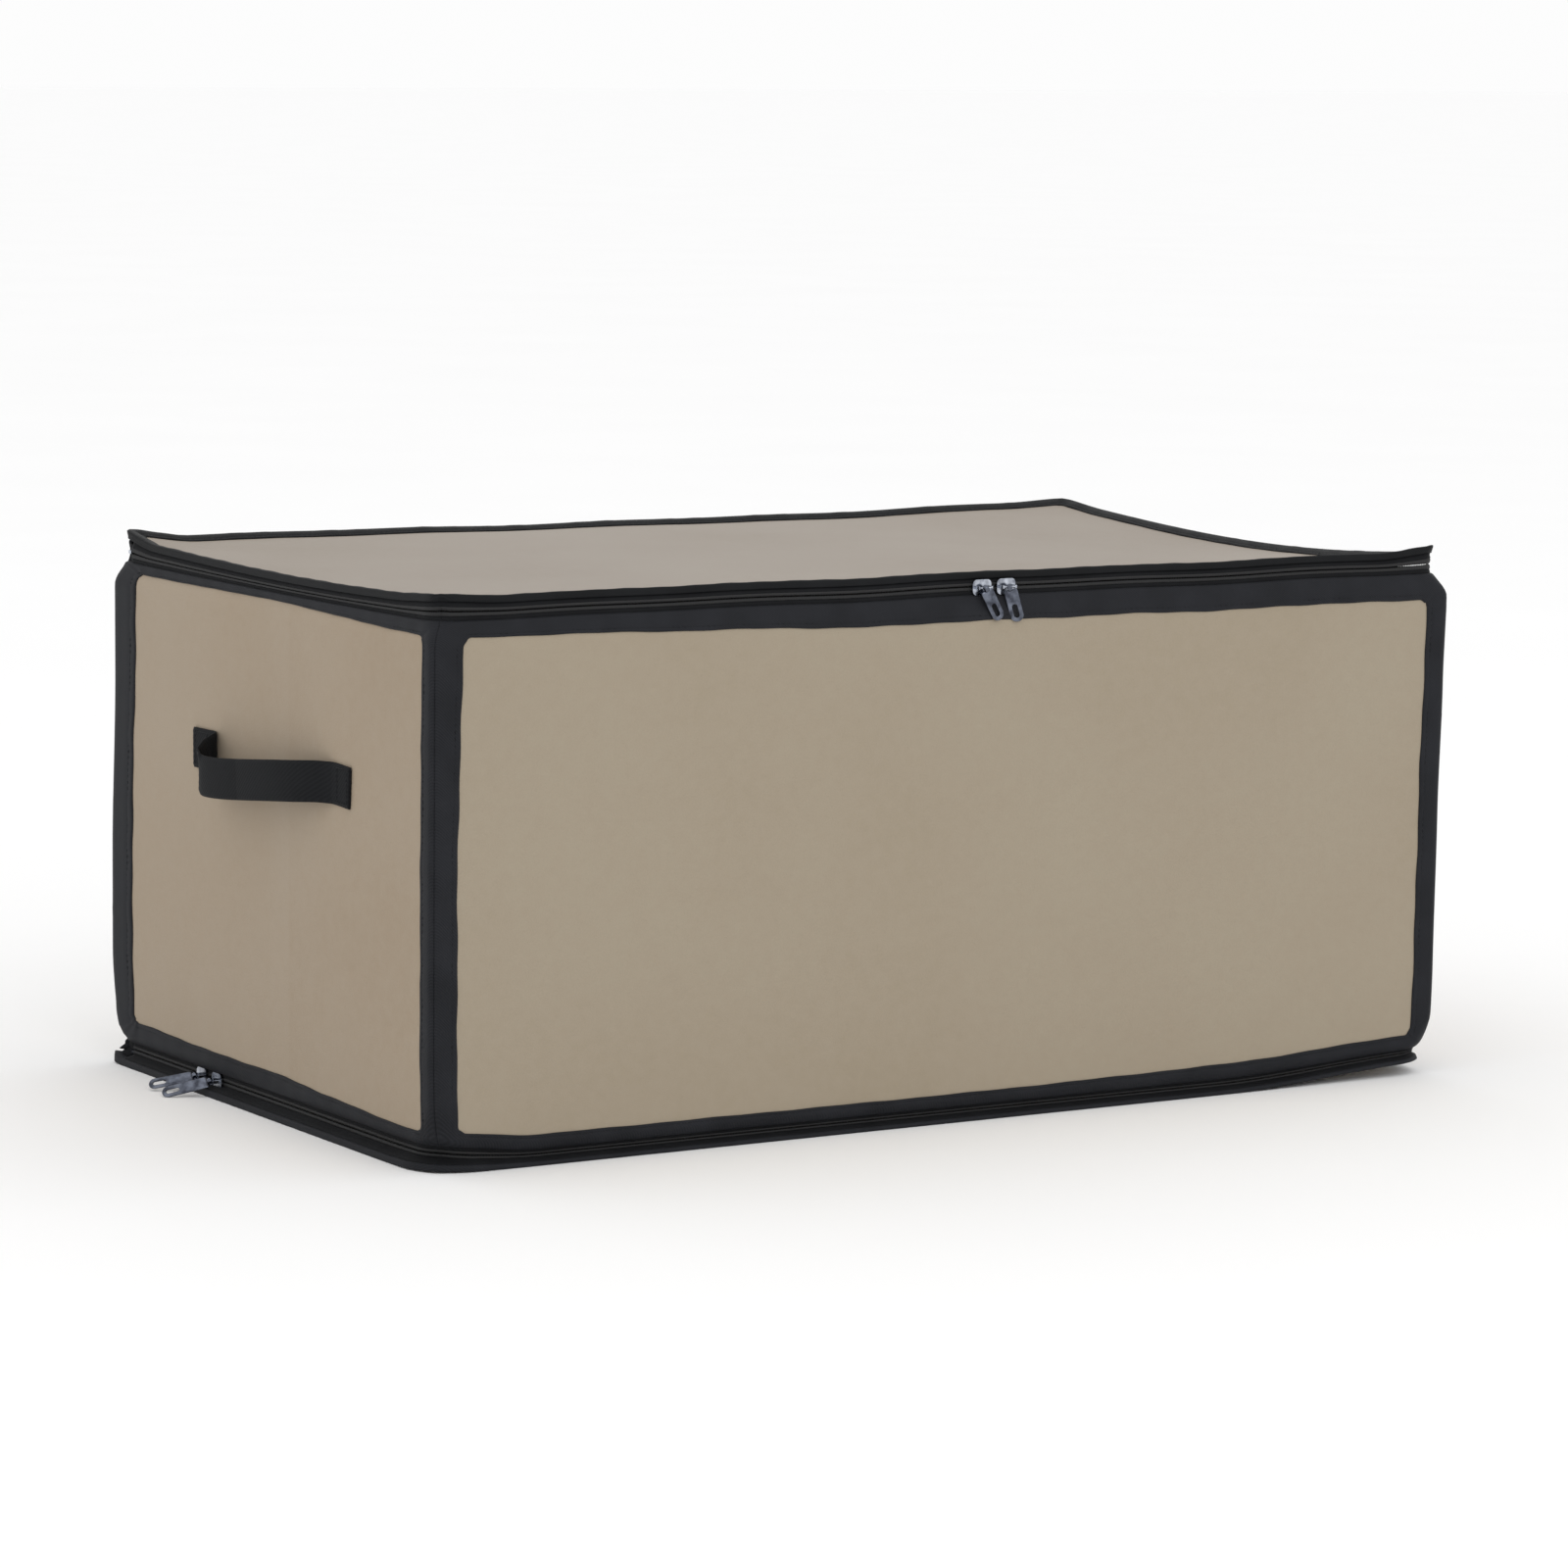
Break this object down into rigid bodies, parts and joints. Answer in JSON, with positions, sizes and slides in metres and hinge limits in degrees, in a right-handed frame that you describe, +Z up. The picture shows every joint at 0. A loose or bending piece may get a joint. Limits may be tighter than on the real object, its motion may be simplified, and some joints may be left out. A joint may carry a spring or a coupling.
{
  "type": "under bed box",
  "caption": "Zip-up fabric storage box with board-stiffened walls, a zip lid hinged at the back, webbing side handles and sides that fold flat.",
  "frame": {"origin": "middle of the underside, on the floor", "axes": "+X to the right along the length, +Y to the back where the lid is hinged, +Z up"},
  "size_m": [0.6403, 0.3663, 0.28],
  "materials": {
    "cover_fabric": "matte non-woven beige fabric",
    "lining_fabric": "thin matte non-woven lining",
    "stiffener_board": "grey-brown pasteboard",
    "binding_tape": "charcoal woven polyester tape, slight sheen",
    "zip_tape": "black knitted zipper tape",
    "zip_coil": "black nylon coil",
    "slider_metal": "dark nickel plate",
    "webbing": "charcoal woven webbing"
  },
  "bodies": {
    "base": {"base_board": "stiffener_board", "base_cover": "cover_fabric", "base_lining": "lining_fabric", "base_binding": "binding_tape", "base_zip_tape": "zip_tape", "base_zip_coil": "zip_coil", "bottom_zip_stops": "slider_metal"},
    "back_wall": {"back_board": "stiffener_board", "back_cover": "cover_fabric", "back_lining": "lining_fabric", "back_binding": "binding_tape", "lid_hinge_tape": "binding_tape", "base_hinge_tape": "binding_tape"},
    "lid": {"lid_board": "stiffener_board", "lid_cover": "cover_fabric", "lid_lining": "lining_fabric", "lid_binding": "binding_tape", "lid_zip_tape": "zip_tape", "lid_zip_coil": "zip_coil", "top_zip_stops": "slider_metal"},
    "front_wall": {"front_board": "stiffener_board", "front_cover": "cover_fabric", "front_lining": "lining_fabric", "front_binding": "binding_tape", "front_zip_tapes": "zip_tape", "front_zip_coils": "zip_coil"},
    "left_rear_side": {"left_rear_board": "stiffener_board", "left_rear_cover": "cover_fabric", "left_rear_lining": "lining_fabric", "left_rear_binding": "binding_tape", "left_rear_zip_tapes": "zip_tape", "left_rear_zip_coils": "zip_coil", "left_handle": "webbing"},
    "left_front_side": {"left_front_board": "stiffener_board", "left_front_cover": "cover_fabric", "left_front_lining": "lining_fabric", "left_front_binding": "binding_tape", "left_front_zip_tapes": "zip_tape", "left_front_zip_coils": "zip_coil"},
    "right_rear_side": {"right_rear_board": "stiffener_board", "right_rear_cover": "cover_fabric", "right_rear_lining": "lining_fabric", "right_rear_binding": "binding_tape", "right_rear_zip_tapes": "zip_tape", "right_rear_zip_coils": "zip_coil", "right_handle": "webbing"},
    "right_front_side": {"right_front_board": "stiffener_board", "right_front_cover": "cover_fabric", "right_front_lining": "lining_fabric", "right_front_binding": "binding_tape", "right_front_zip_tapes": "zip_tape", "right_front_zip_coils": "zip_coil"},
    "top_slider_left": {"top_slider_left": "slider_metal"},
    "top_pull_left": {"top_pull_left": "slider_metal"},
    "top_slider_right": {"top_slider_right": "slider_metal"},
    "top_pull_right": {"top_pull_right": "slider_metal"},
    "bottom_slider_front": {"bottom_slider_front": "slider_metal"},
    "bottom_pull_front": {"bottom_pull_front": "slider_metal"},
    "bottom_slider_rear": {"bottom_slider_rear": "slider_metal"},
    "bottom_pull_rear": {"bottom_pull_rear": "slider_metal"}
  },
  "joints": [
    {"name": "walls_tip", "type": "hinge", "parent": "base", "child": "back_wall", "pos_m": [0, 0.18, 0.0041], "axis": [1, 0, 0], "range_deg": [-90, 0]},
    {"name": "lid_hinge", "type": "hinge", "parent": "back_wall", "child": "lid", "pos_m": [0, 0.18, 0.2757], "axis": [-1, 0, 0], "range_deg": [0, 180]},
    {"name": "side_fold", "type": "hinge", "parent": "back_wall", "child": "left_rear_side", "pos_m": [-0.2964, 0.1764, 0.14], "axis": [0, 0, -1], "range_deg": [-86, 0]},
    {"name": "left_crease", "type": "hinge", "parent": "left_rear_side", "child": "left_front_side", "pos_m": [-0.3, 0, 0.14], "axis": [0, 0, 1], "range_deg": [-172, 0], "deforming": ["left_handle"]},
    {"name": "front_left_corner", "type": "hinge", "parent": "left_front_side", "child": "front_wall", "pos_m": [-0.2964, -0.1764, 0.14], "axis": [0, 0, -1], "range_deg": [-86, 0]},
    {"name": "right_back_corner", "type": "hinge", "parent": "back_wall", "child": "right_rear_side", "pos_m": [0.2964, 0.1764, 0.14], "axis": [0, 0, 1], "range_deg": [-86, 0]},
    {"name": "right_crease", "type": "hinge", "parent": "right_rear_side", "child": "right_front_side", "pos_m": [0.3, 0, 0.14], "axis": [0, 0, -1], "range_deg": [-172, 0], "deforming": ["right_handle"]},
    {"name": "top_slider_left_slide", "type": "slide", "parent": "lid", "child": "top_slider_left", "axis": [1, 0, 0], "range_m": [-0.2895, 0]},
    {"name": "top_pull_left_swing", "type": "hinge", "parent": "top_slider_left", "child": "top_pull_left", "pos_m": [0.0095, -0.1835, 0.272], "axis": [-1, 0, 0], "range_deg": [0, 165]},
    {"name": "top_slider_right_slide", "type": "slide", "parent": "lid", "child": "top_slider_right", "axis": [1, 0, 0], "range_m": [0, 0.256]},
    {"name": "top_pull_right_swing", "type": "hinge", "parent": "top_slider_right", "child": "top_pull_right", "pos_m": [0.024, -0.1835, 0.272], "axis": [-1, 0, 0], "range_deg": [0, 165]},
    {"name": "bottom_slider_front_slide", "type": "slide", "parent": "base", "child": "bottom_slider_front", "axis": [0, 1, 0], "range_m": [-0.203, 0]},
    {"name": "bottom_pull_front_swing", "type": "hinge", "parent": "bottom_slider_front", "child": "bottom_pull_front", "pos_m": [-0.3035, 0.061, 0.008], "axis": [0, 1, 0], "range_deg": [0, 87]},
    {"name": "bottom_slider_rear_slide", "type": "slide", "parent": "base", "child": "bottom_slider_rear", "axis": [0, 1, 0], "range_m": [0, 0.08]},
    {"name": "bottom_pull_rear_swing", "type": "hinge", "parent": "bottom_slider_rear", "child": "bottom_pull_rear", "pos_m": [-0.3035, 0.079, 0.008], "axis": [0, 1, 0], "range_deg": [0, 87]}
  ],
  "couplings": [
    {"joint": "left_crease", "follows": "side_fold", "ratio": 2},
    {"joint": "front_left_corner", "follows": "side_fold", "ratio": 1},
    {"joint": "right_back_corner", "follows": "side_fold", "ratio": 1},
    {"joint": "right_crease", "follows": "side_fold", "ratio": 2}
  ]
}
